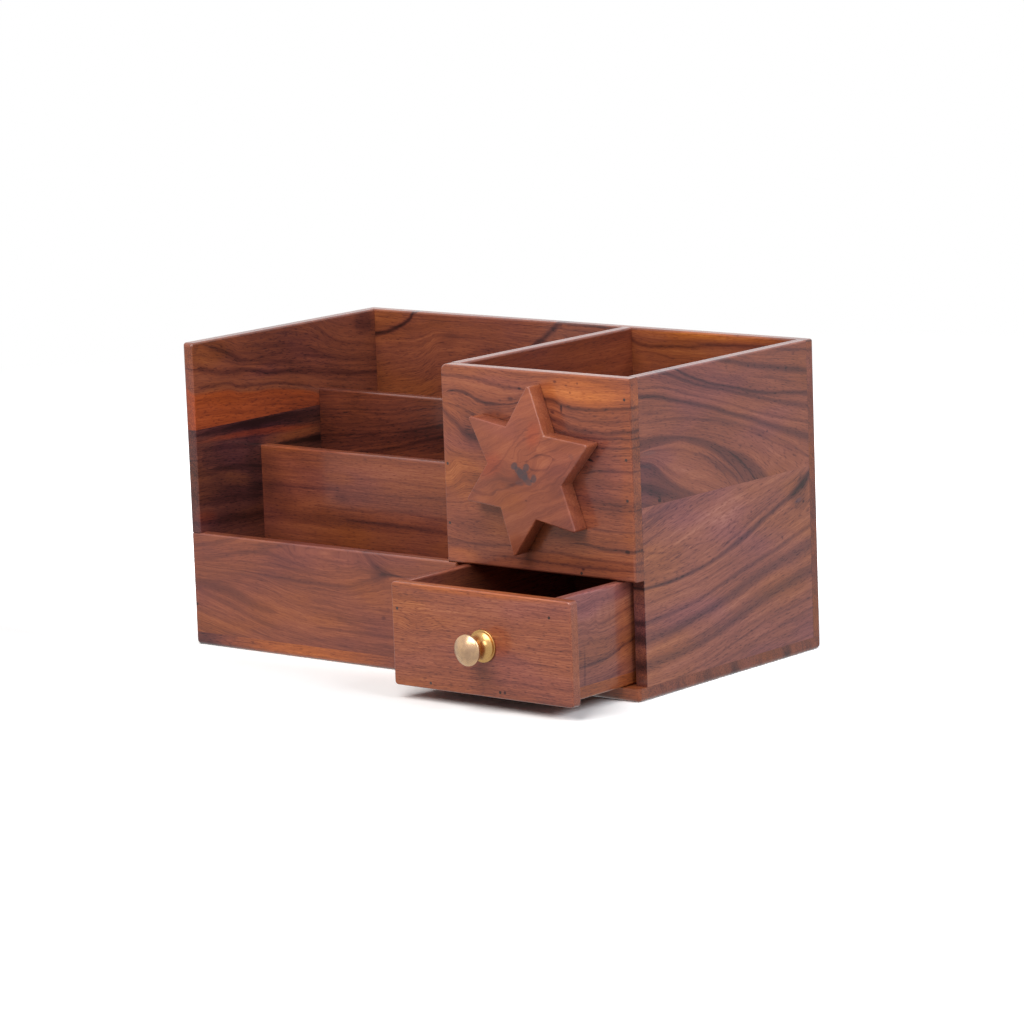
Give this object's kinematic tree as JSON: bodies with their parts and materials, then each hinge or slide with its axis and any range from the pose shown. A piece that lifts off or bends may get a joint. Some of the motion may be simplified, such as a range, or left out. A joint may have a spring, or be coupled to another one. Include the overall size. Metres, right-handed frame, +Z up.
{
  "type": "pen stand with drawer",
  "caption": "Wooden desk organizer: a letter rack with stepped dividers, a deep pen box with a star on its front, and a small sliding drawer with a round brass knob under the pen box.",
  "frame": {"origin": "middle of the case's flat underside, where it rests on the desk", "axes": "+X to the object's right, +Y to its back, +Z up; the drawer opens along -Y"},
  "size_m": [0.229, 0.17, 0.124],
  "materials": {
    "case_wood": "satin varnish",
    "drawer_wood": "satin varnish",
    "star_wood": "satin varnish",
    "pin_steel": "dull, filled over",
    "knob_brass": "satin",
    "screw_steel": "satin"
  },
  "bodies": {
    "case": {"base_board": "case_wood", "back_panel": "case_wood", "left_side_lower_board": "case_wood", "left_side_upper_board": "case_wood", "right_side_lower_board": "case_wood", "right_side_upper_board": "case_wood", "pen_box_partition": "case_wood", "pen_box_floor": "case_wood", "pen_box_front_panel": "case_wood", "low_front_wall": "case_wood", "front_divider": "case_wood", "rear_divider": "case_wood", "star_ornament": "star_wood", "front_panel_pins": "pin_steel", "low_wall_pins": "pin_steel", "base_pins": "pin_steel", "back_panel_pins": "pin_steel"},
    "drawer": {"drawer_front": "drawer_wood", "drawer_left_side": "drawer_wood", "drawer_right_side": "drawer_wood", "drawer_back": "drawer_wood", "drawer_bottom": "drawer_wood", "drawer_front_pins": "pin_steel", "drawer_box_pins": "pin_steel", "drawer_knob": "knob_brass", "knob_screw": "screw_steel"}
  },
  "joints": [
    {"name": "drawer_slide", "type": "slide", "parent": "case", "child": "drawer", "axis": [0, -1, 0], "range_m": [-0.0398, 0.0352]}
  ]
}
